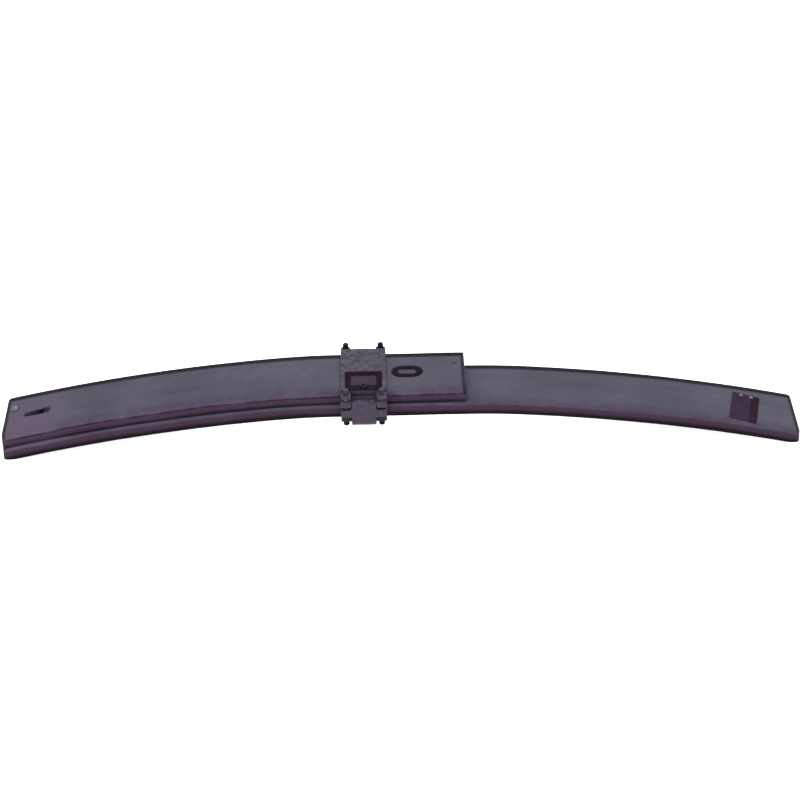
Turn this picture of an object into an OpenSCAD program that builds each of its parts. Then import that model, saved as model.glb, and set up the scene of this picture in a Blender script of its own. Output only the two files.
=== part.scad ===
// Two-leaf slipper spring with a bolted centre clamp.
// The leaves arch upwards along X, the width runs along Y, and Z = 0 is the level of the feet under both tips.
// X = 0 is the middle of the main leaf's length.

/* [Leaves] */
// Width of both leaves
leaf_w = 100; // [90:1:110]
// Thickness of each leaf
leaf_t = 20; // [16:0.5:24]
// Gap that the liners hold between the leaves
leaf_gap = 1; // [0.8:0.1:2]
// Distance from mid-length to each tip
half_span = 544; // [520:1:600]
// Distance from mid-length to the square end of the upper leaf
upper_reach = 88; // [86:1:110]
// How much is ground off under each tip, which leaves it a level foot
tip_flat = 4; // [1:0.5:5]
// Radius of the tip corners, seen from above
corner_r = 6; // [2:1:20]

/* [Camber] */
// Half length of the level seat in the middle
seat_half = 84; // [84:1:90]
// Radius of the short bend at each end of the seat
knee_r = 1150; // [900:10:1600]
// Length along X of that short bend
knee_run = 84; // [60:1:120]
// Radius of the long bend that runs on to the tip
arm_r = 2450; // [2000:10:3200]

/* [Clamp] */
// Centre of the clamp along X
clamp_x = -50.5; // [-53:0.5:-20]
// Length of the clamp along the leaves
clamp_l = 62; // [56:1:62]
// Thickness of the cap over the upper leaf
cap_t = 6; // [5:0.5:8]
// Thickness of the saddle's floor under the main leaf
floor_t = 5; // [4:0.5:10]
// Distance between the studs along X
stud_pitch_x = 48; // [44:1:48]
// Distance between the studs along Y
stud_pitch_y = 122; // [122:1:126]
// Diameter of the studs
stud_d = 8; // [6:1:8]

/* [Leaf holes] */
// Centre of the wide slot in the upper leaf
wide_slot_x = 9; // [6:1:30]
// Length of the wide slot
wide_slot_l = 43; // [34:1:48]
// Width of the wide slot
wide_slot_w = 30; // [20:1:33]
// Where the axis of the narrow slot near the doubled tip meets the underside
tip_slot_x = -494.5; // [-498:0.5:-484]
// Distance of the narrow slot from mid-width, negative towards the near side
tip_slot_y = -5; // [-8:1:0]
// Length of the narrow slot
tip_slot_l = 28; // [16:1:30]
// Width of the narrow slot
tip_slot_w = 11; // [6:1:12]

/* [Slot bush] */
// Length of the steel key in the wide slot's rubber bush
key_l = 28; // [20:1:30]
// Width of that key
key_w = 12; // [10:1:18]

/* [Tip fittings] */
// Where the axis of the rivet at the doubled tip meets the underside
rivet_x = -522.5; // [-524:0.5:-520]
// Sideways offset of that rivet from the leaf's middle
rivet_y = 15; // [-20:1:20]
// Centre of the blank plate near the single tip
plate_x = 472; // [440:1:500]
// Sideways offset of that plate from the leaf's middle
plate_y = -9; // [-10:1:10]
// Length of that plate along the leaf
plate_l = 38; // [30:1:50]
// Width of that plate across the leaf
plate_w = 73; // [50:1:76]
// How far that plate is turned on the leaf, in degrees
plate_turn = -11; // [-12:1:12]

/* [Hidden] */
$fn = 64;
bed_gap = 0.15;                // play between the leaves and the clamp parts that move with the axle
side_gap = 0.5;                // play beside the leaves
liner_play = 0.1;              // play above and below each liner
segment_l = 17;                // longest straight step of a leaf's outline
above_all = 200;               // height of the cutters that run down through the leaves

leaf_side = leaf_w / 2;
knee_x = seat_half + knee_run;
knee_slope = asin(knee_run / knee_r);
knee_drop = knee_r * (1 - cos(knee_slope));

// Downward slope of the leaves' underside at x, in degrees, negative towards -X
function slope(x) = sign(x) * (
    abs(x) <= seat_half ? 0
    : abs(x) <= knee_x ? asin((abs(x) - seat_half) / knee_r)
    : asin(sin(knee_slope) + (abs(x) - knee_x) / arm_r));

// How far the underside lies below the seat at x
function drop(x) = abs(x) <= knee_x
    ? knee_r * (1 - cos(slope(x)))
    : knee_drop + arm_r * (cos(knee_slope) - cos(slope(x)));

camber_h = drop(half_span) - tip_flat; // height of the seat above the feet under the tips

// Height at x of the curve that lies a distance up above the underside, square to it
function height(x, up) = let (foot = x - up * sin(slope(x)))
    camber_h - drop(foot) + up * cos(slope(foot));

// X positions from one end to the other, no further apart than segment_l
function steps(from, to) = let (n = ceil((to - from) / segment_l))
    [for (i = [0:n]) from + (to - from) * i / n];

upper_base = leaf_t + leaf_gap;
pack_t = 2 * leaf_t + leaf_gap;
pack_top = camber_h + pack_t;
cap_top = pack_top + cap_t;
saddle_low = camber_h - floor_t;

skirt_t = 3.5;                 // wall that joins a cap lug to the cap
lug_l = 14;                    // length along X of each corner lug
lug_side = stud_pitch_y / 2 + 7;
cap_lug_top = pack_top - 6.5;
cap_lug_low = pack_top - 16;
saddle_lug_top = pack_top - 19;
saddle_lug_low = pack_top - 31;
rim_top = pack_top - 5.6;      // inner rim of the saddle's side wall
ledge_top = pack_top - 9.5;    // outer ledge of the saddle's side wall
wall_chamfer = 6;              // bevel along the saddle's lower outer edges
rim_t = 5;
stud_top = pack_top + 10;
stud_low = pack_top - 45;
stud_hole_d = stud_d + 0.8;
stud_chamfer = 0.8;
nut_af = 13;                   // across the flats
nut_h = 6.5;
washer_t = 2;
washer_d = 13;

pocket_l = 50;                 // pocket in the cap that holds the pad
pocket_w = 47;
pocket_d = 3;
pad_play = 0.4;
pad_t = 2.2;
screw_y = -47;
screw_head_d = 9;
screw_head_h = 2.5;
screw_d = 4;

dowel_d = 16;
dowel_hole_d = dowel_d + 1;
collar_d = 20.4;               // the dowel's collar, pressed into the saddle's floor
spigot_d = 20;                 // the dowel's lower end, which enters the axle pad
spigot_l = 10;
dowel_chamfer = 1.5;

rivet_d = 7;
rivet_head_d = 12;
rivet_head_h = 5;
tip_liner_l = 70;
end_liner_l = 24;
liner_w = 96;
end_rivet_x = 74;
end_rivet_y = 22;
end_rivet_head_d = 9;
end_rivet_head_h = 1.6;
end_rivet_d = 5;
bush_proud = 1;                // height of the bush's rim above the upper leaf
key_sunk = 0.4;                // depth of the key's top below the upper leaf's
plate_t = 1.2;
plate_rivet_d = 3;
plate_rivet_head_d = 6;
plate_rivet_head_h = 1.4;
plate_rivet_pitch = 14;
plate_rivet_inset = 6;         // distance of those rivets from the plate's far edge
plate_rivet_l = 8;

paint = [0.38, 0.37, 0.42];
casting = [0.30, 0.29, 0.33];
dark_steel = [0.14, 0.14, 0.15];
rubber = [0.12, 0.11, 0.12];
plated = [0.62, 0.62, 0.64];

// A strip that follows the camber, between two heights above the underside
module strip(from, to, low, high, width, y = 0) {
    forward = steps(from, to);
    back = [for (i = [len(forward) - 1:-1:0]) forward[i]];
    translate([0, y, 0]) rotate([90, 0, 0]) linear_extrude(width, center = true)
        polygon(concat([for (x = forward) [x, height(x, high)]],
                       [for (x = back) [x, height(x, low)]]));
}

// Places its children a distance up along the line that stands square on the underside at x
module on_camber(x, up, y = 0) {
    translate([x, y, height(x, 0)]) rotate([0, slope(x), 0]) translate([0, 0, up]) children();
}

// A round-ended slot, centred, cut along Z
module slot_cutter(l, w, depth) {
    linear_extrude(depth, center = true) {
        square([l - w, w], center = true);
        for (s = [-1, 1]) translate([s * (l - w) / 2, 0]) circle(d = w);
    }
}

// What rounds off both corners of a leaf's tip; dir is the way the tip points
module tip_rounder(dir) {
    for (s = [-1, 1])
        translate([dir * (half_span - corner_r), s * (leaf_side - corner_r), 0])
            linear_extrude(above_all) difference() {
                translate([dir > 0 ? 0 : -corner_r - 1, s > 0 ? 0 : -corner_r - 1])
                    square(corner_r + 1);
                circle(r = corner_r);
            }
}

module dowel_hole() {
    translate([clamp_x, 0, 0]) cylinder(h = above_all, d = dowel_hole_d);
}

module main_leaf() {
    color(paint) difference() {
        strip(-half_span, half_span, 0, leaf_t, leaf_w);
        translate([-half_span - 1, -leaf_side - 1, -leaf_t]) cube([2 * half_span + 2, leaf_w + 2, leaf_t]);
        tip_rounder(-1);
        tip_rounder(1);
        dowel_hole();
        for (i = [0, 1]) plate_rivet_place(i) translate([0, 0, -plate_rivet_l - 1])
            cylinder(h = plate_rivet_l + 5, d = plate_rivet_d + 0.4);
    }
}

module upper_leaf() {
    color(paint) difference() {
        strip(-half_span, upper_reach, upper_base, pack_t, leaf_w);
        tip_rounder(-1);
        dowel_hole();
        translate([wide_slot_x, 0, pack_top]) slot_cutter(wide_slot_l, wide_slot_w, 3 * leaf_t);
        translate([end_rivet_x, end_rivet_y, pack_top])
            cylinder(h = 3 * leaf_t, d = end_rivet_d + 0.4, center = true);
        on_camber(tip_slot_x, pack_t, tip_slot_y) slot_cutter(tip_slot_l, tip_slot_w, 3 * leaf_t);
        on_camber(rivet_x, pack_t, rivet_y)
            cylinder(h = 3 * leaf_t, d = rivet_d + 0.4, center = true);
    }
}

// Anti-rattle strip between the leaves at the doubled tip, pierced by the rivet and the narrow slot
module tip_liner() {
    color(rubber) difference() {
        strip(-half_span + 2, -half_span + 2 + tip_liner_l,
              leaf_t + liner_play, upper_base - liner_play, liner_w);
        on_camber(rivet_x, upper_base, rivet_y)
            cylinder(h = leaf_t, d = rivet_d + 0.4, center = true);
        on_camber(tip_slot_x, upper_base, tip_slot_y) slot_cutter(tip_slot_l, tip_slot_w, leaf_t);
    }
}

// A shallow round head, flat side down at Z = 0
module dome(d, h) {
    ball_r = (d * d / 4 + h * h) / (2 * h);
    intersection() {
        translate([0, 0, h - ball_r]) sphere(r = ball_r);
        cylinder(h = h + 1, d = d);
    }
}

module tip_rivet() {
    color(plated) on_camber(rivet_x, pack_t + liner_play, rivet_y) {
        dome(rivet_head_d, rivet_head_h);
        translate([0, 0, -leaf_t - leaf_gap / 2]) cylinder(h = leaf_t + leaf_gap, d = rivet_d);
    }
}

// Rubber bush in the wide slot, with a rim just above the leaf
module slot_bush() {
    low = camber_h + upper_base;
    color(rubber) translate([wide_slot_x, 0, (low + pack_top + bush_proud) / 2]) difference() {
        slot_cutter(wide_slot_l - 2 * bed_gap, wide_slot_w - 2 * bed_gap, pack_top + bush_proud - low);
        slot_cutter(key_l, key_w, leaf_t * 3);
    }
}

// Steel key held by the bush
module slot_key() {
    low = camber_h + upper_base;
    color(paint) translate([wide_slot_x, 0, (low + pack_top - key_sunk) / 2])
        slot_cutter(key_l - 0.1, key_w - 0.1, pack_top - key_sunk - low);
}

// Places its children on the line of rivets along the blank plate's far edge
module plate_rivet_place(i) {
    on_camber(plate_x - leaf_t * sin(slope(plate_x)), leaf_t + plate_t, plate_y)
        rotate(plate_turn)
        translate([(i - 0.5) * plate_rivet_pitch, plate_w / 2 - plate_rivet_inset, 0]) children();
}

// Blank plate on the main leaf's top
module data_plate() {
    reach = plate_l + plate_w;
    color(dark_steel) difference() {
        intersection() {
            strip(plate_x - plate_l, plate_x + plate_l,
                  leaf_t + liner_play, leaf_t + plate_t, leaf_w);
            translate([plate_x, plate_y, 0]) rotate(plate_turn)
                translate([-plate_l / 2, -plate_w / 2, 0]) cube([plate_l, plate_w, reach]);
        }
        for (i = [0, 1]) plate_rivet_place(i)
            cylinder(h = 4 * plate_t, d = plate_rivet_d + 0.4, center = true);
    }
}

module data_plate_rivet(i) {
    color(plated) plate_rivet_place(i) {
        translate([0, 0, liner_play]) dome(plate_rivet_head_d, plate_rivet_head_h);
        translate([0, 0, -plate_rivet_l]) cylinder(h = plate_rivet_l + 0.5, d = plate_rivet_d);
    }
}

// A box given by its sides along X from the clamp's centre, along |Y|, and along Z, on one side or the other
module side_box(side, from, to, inner, outer, low, high) {
    translate([clamp_x + from, side > 0 ? inner : -outer, low])
        cube([to - from, outer - inner, high - low]);
}

// Stud i stands at one of the clamp's four corners
function stud_at(i) = [clamp_x + (i % 2 == 0 ? -1 : 1) * stud_pitch_x / 2,
                       (i < 2 ? -1 : 1) * stud_pitch_y / 2];

module stud_holes() {
    for (i = [0:3]) translate([stud_at(i).x, stud_at(i).y, saddle_low - 1])
        cylinder(h = above_all, d = stud_hole_d);
}

module clamp_cap() {
    half_l = clamp_l / 2;
    color(casting) difference() {
        union() {
            translate([clamp_x - half_l, -leaf_side - side_gap - skirt_t, pack_top + bed_gap])
                cube([clamp_l, leaf_w + 2 * (side_gap + skirt_t), cap_t - bed_gap]);
            for (side = [-1, 1]) for (from = [-half_l, half_l - lug_l]) {
                side_box(side, from, from + lug_l, leaf_side + side_gap,
                         leaf_side + side_gap + skirt_t, cap_lug_low, cap_top);
                side_box(side, from, from + lug_l, leaf_side + side_gap, lug_side,
                         cap_lug_low, cap_lug_top);
            }
        }
        stud_holes();
        translate([clamp_x - pocket_l / 2, -leaf_side - side_gap - skirt_t - 1, cap_top - pocket_d])
            cube([pocket_l, pocket_w + 1, cap_t]);
        translate([clamp_x, screw_y, pack_top]) cylinder(h = cap_t, d = screw_d);
    }
}

// Rubber pad in the cap's pocket
module cap_pad() {
    color(rubber) difference() {
        translate([clamp_x - pocket_l / 2 + pad_play, -leaf_side - side_gap - skirt_t, cap_top - pocket_d])
            cube([pocket_l - 2 * pad_play, pocket_w - pad_play, pad_t]);
        translate([clamp_x, screw_y, pack_top]) cylinder(h = 2 * cap_t, d = screw_d + 0.4);
    }
}

module cap_pad_screw() {
    color(dark_steel) translate([clamp_x, screw_y, cap_top - pocket_d + pad_t]) {
        cylinder(h = screw_head_h, d = screw_head_d);
        translate([0, 0, -pad_t - 2]) cylinder(h = pad_t + 3, d = screw_d);
    }
}

module clamp_saddle() {
    half_l = clamp_l / 2;
    wall_half = half_l - lug_l - 0.5;
    inner = leaf_side + side_gap;
    color(casting) difference() {
        union() {
            translate([clamp_x - half_l, -inner - skirt_t, saddle_low])
                cube([clamp_l, 2 * (inner + skirt_t), floor_t - bed_gap]);
            for (side = [-1, 1]) {
                hull() {
                    side_box(side, -wall_half, wall_half, inner, lug_side - wall_chamfer, saddle_low, ledge_top);
                    side_box(side, -wall_half, wall_half, inner, lug_side, saddle_low + wall_chamfer, ledge_top);
                }
                side_box(side, -wall_half, wall_half, inner, inner + rim_t, saddle_low, rim_top);
                side_box(side, -half_l, half_l, inner, inner + skirt_t, saddle_low, saddle_lug_top);
                side_box(side, -half_l, half_l, inner, lug_side, saddle_lug_low, saddle_lug_top);
            }
        }
        stud_holes();
        translate([clamp_x, 0, saddle_low - 1]) cylinder(h = floor_t + 2, d = collar_d);
    }
}

// Locates both leaves on the saddle, and the saddle on the axle
module centre_dowel() {
    color(plated) translate([clamp_x, 0, saddle_low - spigot_l]) {
        cylinder(h = dowel_chamfer, d1 = spigot_d - 2 * dowel_chamfer, d2 = spigot_d);
        translate([0, 0, dowel_chamfer]) cylinder(h = spigot_l - dowel_chamfer, d = spigot_d);
        translate([0, 0, spigot_l]) cylinder(h = floor_t - bed_gap, d = collar_d);
        cylinder(h = spigot_l + floor_t + pack_t - 2, d = dowel_d);
    }
}

// Keeps the leaves apart under the clamp
module centre_spacer() {
    color(plated) difference() {
        strip(clamp_x - clamp_l / 2 + 1, clamp_x + clamp_l / 2 - 1,
              leaf_t + liner_play, upper_base - liner_play, liner_w);
        dowel_hole();
    }
}

// Anti-rattle strip under the square end of the upper leaf
module end_liner() {
    color(rubber) difference() {
        strip(upper_reach - 2 - end_liner_l, upper_reach - 2,
              leaf_t + liner_play, upper_base - liner_play, liner_w);
        translate([end_rivet_x, end_rivet_y, 0]) cylinder(h = above_all, d = end_rivet_d + 0.4);
    }
}

// Holds that strip to the upper leaf
module end_liner_rivet() {
    color(plated) translate([end_rivet_x, end_rivet_y, pack_top + bed_gap]) {
        dome(end_rivet_head_d, end_rivet_head_h);
        translate([0, 0, -leaf_t - leaf_gap / 2]) cylinder(h = leaf_t + leaf_gap, d = end_rivet_d);
    }
}

module clamp_stud(i) {
    end_d = stud_d - 2 * stud_chamfer;
    color(dark_steel) translate([stud_at(i).x, stud_at(i).y, stud_low]) {
        cylinder(h = stud_chamfer, d1 = end_d, d2 = stud_d);
        translate([0, 0, stud_chamfer])
            cylinder(h = stud_top - stud_low - 2 * stud_chamfer, d = stud_d);
        translate([0, 0, stud_top - stud_low - stud_chamfer])
            cylinder(h = stud_chamfer, d1 = stud_d, d2 = end_d);
    }
}

// A hexagon nut on stud i, its lower face at low; the studs are modelled unthreaded
module nut(i, low) {
    color(dark_steel) translate([stud_at(i).x, stud_at(i).y, low]) difference() {
        cylinder(h = nut_h, d = nut_af / cos(30), $fn = 6);
        translate([0, 0, -1]) cylinder(h = nut_h + 2, d = stud_d);
    }
}

module spring_washer(i) {
    color(dark_steel) translate([stud_at(i).x, stud_at(i).y, cap_lug_top]) difference() {
        cylinder(h = washer_t, d = washer_d);
        translate([0, 0, -1]) cylinder(h = washer_t + 2, d = stud_d + 0.4);
        translate([0, -0.75, -1]) cube([washer_d, 1.5, washer_t + 2]);
    }
}

main_leaf();
upper_leaf();
tip_liner();
tip_rivet();
data_plate();
for (i = [0, 1])
    data_plate_rivet(i);
slot_bush();
slot_key();
clamp_cap();
clamp_saddle();
cap_pad();
cap_pad_screw();
centre_dowel();
centre_spacer();
end_liner();
end_liner_rivet();
for (i = [0:3]) {
    clamp_stud(i);
    nut(i, cap_lug_top + washer_t);
    nut(i, saddle_lug_low - nut_h);
    spring_washer(i);
}
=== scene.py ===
"""Looks for the leaf spring: camera, light, floor, materials and a detailed piece for every CAD node.

Lengths are in metres. A leaf, liner or plate is built straight, with its height above the main leaf's
underside in place of Z. It is then laid on the camber, so that its edges, holes and strips follow the curve
of the CAD leaves.
"""
import math

import bmesh
import bpy
import numpy as np
from mathutils import Matrix, Vector, noise


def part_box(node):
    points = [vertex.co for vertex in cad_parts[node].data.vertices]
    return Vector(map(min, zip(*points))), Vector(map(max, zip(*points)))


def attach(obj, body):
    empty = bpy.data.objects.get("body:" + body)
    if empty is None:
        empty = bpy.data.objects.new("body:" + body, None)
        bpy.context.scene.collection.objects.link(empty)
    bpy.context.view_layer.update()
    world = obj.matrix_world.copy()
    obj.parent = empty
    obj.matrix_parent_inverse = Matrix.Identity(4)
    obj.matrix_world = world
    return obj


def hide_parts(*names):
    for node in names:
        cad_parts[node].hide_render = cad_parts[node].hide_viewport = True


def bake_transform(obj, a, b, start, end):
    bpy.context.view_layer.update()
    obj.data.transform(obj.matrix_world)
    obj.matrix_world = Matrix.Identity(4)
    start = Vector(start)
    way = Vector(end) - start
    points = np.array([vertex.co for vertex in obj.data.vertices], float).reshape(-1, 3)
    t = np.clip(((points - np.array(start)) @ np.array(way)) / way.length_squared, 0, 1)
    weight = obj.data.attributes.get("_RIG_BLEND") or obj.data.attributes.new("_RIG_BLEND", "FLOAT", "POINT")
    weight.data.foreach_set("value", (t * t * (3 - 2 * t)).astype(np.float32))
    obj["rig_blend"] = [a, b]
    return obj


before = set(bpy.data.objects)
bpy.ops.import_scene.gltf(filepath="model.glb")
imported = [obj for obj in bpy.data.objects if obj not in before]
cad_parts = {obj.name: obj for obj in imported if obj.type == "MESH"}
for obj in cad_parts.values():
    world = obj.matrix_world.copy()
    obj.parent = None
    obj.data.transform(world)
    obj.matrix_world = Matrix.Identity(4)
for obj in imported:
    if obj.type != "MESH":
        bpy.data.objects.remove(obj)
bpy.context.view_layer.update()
MM = 0.001

# ---- The camber, worked out as the CAD part does ----
LEAF_T = 20 * MM
LEAF_GAP = 1 * MM
SEAT_HALF = 84 * MM
KNEE_R = 1150 * MM
KNEE_RUN = 84 * MM
ARM_R = 2450 * MM
KNEE_X = SEAT_HALF + KNEE_RUN
KNEE_SLOPE = math.asin(KNEE_RUN / KNEE_R)
KNEE_DROP = KNEE_R * (1 - math.cos(KNEE_SLOPE))

UPPER_BASE = LEAF_T + LEAF_GAP
PACK_T = 2 * LEAF_T + LEAF_GAP
HALF_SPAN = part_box("main_leaf")[1].x
LEAF_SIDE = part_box("main_leaf")[1].y
UPPER_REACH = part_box("upper_leaf")[1].x
PACK_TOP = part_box("upper_leaf")[1].z
SEAT_Z = PACK_TOP - PACK_T


def foot_of(node):
    """The middle of a CAD node's box in plan, at the height of its lowest point."""
    low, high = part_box(node)
    return Vector(((low.x + high.x) / 2, (low.y + high.y) / 2, low.z))


def height_of(node):
    low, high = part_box(node)
    return high.z - low.z


CLAMP_X = foot_of("centre_dowel").x


def slope(x):
    """Downward slope of the leaves' underside at x, in radians, negative towards -X."""
    reach = np.abs(x)
    knee = np.arcsin(np.clip(reach - SEAT_HALF, 0, KNEE_RUN) / KNEE_R)
    arm = np.arcsin(math.sin(KNEE_SLOPE) + np.clip(reach - KNEE_X, 0, None) / ARM_R)
    return np.sign(x) * np.where(reach <= KNEE_X, knee, arm)


def drop(x):
    """How far the underside lies below the seat at x."""
    lean = slope(x)
    knee = KNEE_R * (1 - np.cos(lean))
    arm = KNEE_DROP + ARM_R * (math.cos(KNEE_SLOPE) - np.cos(lean))
    return np.where(np.abs(x) <= KNEE_X, knee, arm)


def height(x, up):
    """Height at x of the curve that lies a distance up above the underside, square to it."""
    foot = x - up * np.sin(slope(x))
    return SEAT_Z - drop(foot) + up * np.cos(slope(foot))


# ---- Mesh helpers ----
MERGE_DIST = 0.001 * MM  # points closer than this become one


def get_points(mesh):
    points = np.zeros(len(mesh.vertices) * 3)
    mesh.vertices.foreach_get("co", points)
    return points.reshape(-1, 3)


def set_points(mesh, points):
    mesh.vertices.foreach_set("co", np.asarray(points, float).ravel())
    mesh.update()


def get_normals(mesh):
    normals = np.zeros(len(mesh.vertices) * 3)
    mesh.vertices.foreach_get("normal", normals)
    return normals.reshape(-1, 3)


def add_object(name, data):
    """A new object in the scene, with this mesh, camera or light."""
    thing = bpy.data.objects.new(name, data)
    bpy.context.scene.collection.objects.link(thing)
    return thing


def make_mesh(name, points, faces):
    """A linked object from points and faces, with doubled points merged and the faces turned outwards."""
    mesh = bpy.data.meshes.new(name)
    mesh.from_pydata([tuple(p) for p in points], [], faces)
    work = bmesh.new()
    work.from_mesh(mesh)
    bmesh.ops.remove_doubles(work, verts=work.verts, dist=MERGE_DIST)
    bmesh.ops.recalc_face_normals(work, faces=work.faces)
    work.to_mesh(mesh)
    work.free()
    return add_object(name, mesh)


def loft(name, rings, closed=False):
    """Joins equal rings of points in order. An open loft is capped at its ends, a closed one meets itself."""
    rings = np.asarray(rings)
    count, n = rings.shape[:2]
    faces = []
    for i in range(count if closed else count - 1):
        j = (i + 1) % count
        for k in range(n):
            m = (k + 1) % n
            faces.append((i * n + k, i * n + m, j * n + m, j * n + k))
    if not closed:
        faces.append(tuple(range(n)))
        faces.append(tuple((count - 1) * n + k for k in range(n)))
    return make_mesh(name, rings.reshape(-1, 3), faces)


def revolve(name, profile_at, segments, stretch=0.0, closed=False):
    """Turns a profile about Z. profile_at(angle) gives (radius, z) pairs. stretch is how far each half is
    moved along X, which makes a round-ended shape."""
    half = segments // 2
    angles = [(math.pi * (k / half - 0.5), stretch) for k in range(half + 1)]
    angles += [(math.pi * (k / half + 0.5), -stretch) for k in range(half + 1)]
    columns = []
    for angle, shift in angles:
        profile = np.array(profile_at(angle))
        columns.append(np.stack([profile[:, 0] * math.cos(angle) + shift,
                                 profile[:, 0] * math.sin(angle), profile[:, 1]], axis=1))
    return loft(name, np.stack(columns, axis=1), closed)


def fillet(radius, steps=4):
    """Pairs (distance in from the face, distance in from the side) round a quarter circle."""
    turns = [math.pi / 2 * k / steps for k in range(steps + 1)]
    return [(radius * (1 - math.cos(a)), radius * (1 - math.sin(a))) for a in turns]


def inset(radius, depth):
    """How far a rounded edge has come in from its side at a depth below its face."""
    left = np.clip(radius - depth, 0, radius)
    return radius - np.sqrt(radius ** 2 - left ** 2)


def apply_modifiers(piece):
    """Bakes a piece's modifiers into its mesh."""
    graph = bpy.context.evaluated_depsgraph_get()
    graph.update()
    mesh = bpy.data.meshes.new_from_object(piece.evaluated_get(graph))
    old = piece.data
    piece.modifiers.clear()
    piece.data = mesh
    mesh.name = piece.name
    bpy.data.meshes.remove(old)


def cut(piece, *cutters):
    """Takes the cutters out of the piece exactly, and removes them."""
    for cutter in cutters:
        step = piece.modifiers.new("cut", "BOOLEAN")
        step.operation = "DIFFERENCE"
        step.solver = "EXACT"
        step.object = cutter
    apply_modifiers(piece)
    for cutter in cutters:
        mesh = cutter.data
        bpy.data.objects.remove(cutter)
        bpy.data.meshes.remove(mesh)


def waver(points, scale, depth, seed):
    """Smooth random offsets, one for each point, up to about depth."""
    shift = Vector((seed * 7.31, seed * 3.17, seed * 5.53))
    return np.array([noise.noise(Vector(p) * scale + shift) for p in points]) * depth


def roughen(piece, layers, seed):
    """Moves a dense mesh's points in and out along their normals. layers are (scale per metre, depth)."""
    points, normals = get_points(piece.data), get_normals(piece.data)
    offset = sum(waver(points, scale, depth, seed + k) for k, (scale, depth) in enumerate(layers))
    set_points(piece.data, points + normals * offset[:, None])


def move(piece, place):
    piece.data.transform(Matrix.Translation(place))


def without_doubles(values):
    """The values in order, those that are the same to a ten-thousandth of a millimetre only once."""
    return sorted(set(round(value, 7) for value in values))


# ---- Straight bars and sheets, and how they are laid on the camber ----
EDGE_STEPS = 5
SIDE_STEPS = 8


def stations(low, high, rounds, step):
    """X positions along a bar from low to high, close together where its ends are rounded."""
    inner = without_doubles(depth for radius in rounds for depth, _ in fillet(radius, steps=6))
    reach = inner[-1]
    count = math.ceil((high - low - 2 * reach) / step)
    middle = [low + reach + (high - low - 2 * reach) * k / count for k in range(1, count)]
    return [low + d for d in inner] + middle + [high - d for d in reversed(inner)]


def section(half_w, low, high, radius, side_r, across):
    """A rectangle of (y, up) points with rounded edges, and sides that bulge with the radius side_r."""
    points = []
    middle = (low + high) / 2
    half_t = (high - low) / 2
    rise = half_t - radius
    flat = half_w - side_r + math.sqrt((side_r - radius) ** 2 - rise ** 2)
    lean = math.asin(rise / (side_r - radius))

    def edge_point(side, up, turn):
        out = flat + radius * math.cos(turn)
        return side * out, middle + side * up * (rise + radius * math.sin(turn))

    for side in (1, -1):
        for k in range(across):
            points.append((side * (2 * k / across - 1) * flat, middle + side * half_t))
        for k in range(EDGE_STEPS):
            points.append(edge_point(side, 1, math.pi / 2 + (lean - math.pi / 2) * k / EDGE_STEPS))
        for k in range(SIDE_STEPS + 1):
            turn = lean * (1 - 2 * k / SIDE_STEPS)
            out = half_w - side_r + side_r * math.cos(turn)
            points.append((side * out, middle + side * side_r * math.sin(turn)))
        for k in range(1, EDGE_STEPS):
            points.append(edge_point(side, -1, lean + (math.pi / 2 - lean) * k / EDGE_STEPS))
    return points


def bar(name, low_x, high_x, low, high, half_w, edge_r, corners, side_r=1.0, step=4 * MM, across=14):
    """A straight bar with rounded edges. corners are the radii of its two ends' corners seen from above."""
    rings = []
    for x in stations(low_x, high_x, (edge_r, max(corners)), step):
        depth_low, depth_high = x - low_x, high_x - x
        thin = float(inset(edge_r, min(depth_low, depth_high)))
        narrow = float(max(inset(corners[0], depth_low), inset(corners[1], depth_high)))
        ring = section(half_w - narrow, low + thin, high - thin, max(edge_r - thin, 0.0), side_r, across)
        rings.append([(x, y, up) for y, up in ring])
    return loft(name, rings)


def hole_cutter(x, y, length, width, low, high, flare=0.8 * MM, segments=32):
    """A round or round-ended cutter, square to the camber at x, flared to round off its hole's mouths."""
    radius = width / 2
    over = 1 * MM
    mouth = [(radius + flare, low - over)]
    mouth += [(radius + out, low + depth) for depth, out in fillet(flare)]
    mouth += [(radius + out, high - depth) for depth, out in reversed(fillet(flare))]
    mouth += [(radius + flare, high + over)]
    profile = [(0.0, low - over)] + mouth + [(0.0, high + over)]
    cutter = revolve("cutter", lambda angle: profile, segments, (length - width) / 2)
    points = get_points(cutter.data)
    points[:, 0] += x + points[:, 2] * math.sin(float(slope(x)))
    points[:, 1] += y
    set_points(cutter.data, points)
    return cutter


def lay_on_camber(piece):
    """Turns a straight piece's heights above the underside into real ones, and levels its feet."""
    points = get_points(piece.data)
    z = height(points[:, 0], points[:, 2])
    points[:, 2] = np.maximum(z, 0.0)
    set_points(piece.data, points)
    return piece


def stand_on_camber(piece, foot, up, y, turn=0.0):
    """Places a piece that was built upright, square to the camber at foot and a distance up."""
    lean = float(slope(foot))
    place = Vector((foot + up * math.sin(lean), y, SEAT_Z - float(drop(foot)) + up * math.cos(lean)))
    piece.data.transform(Matrix.Rotation(lean, 4, "Y") @ Matrix.Rotation(turn, 4, "Z"))
    move(piece, place)


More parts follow.
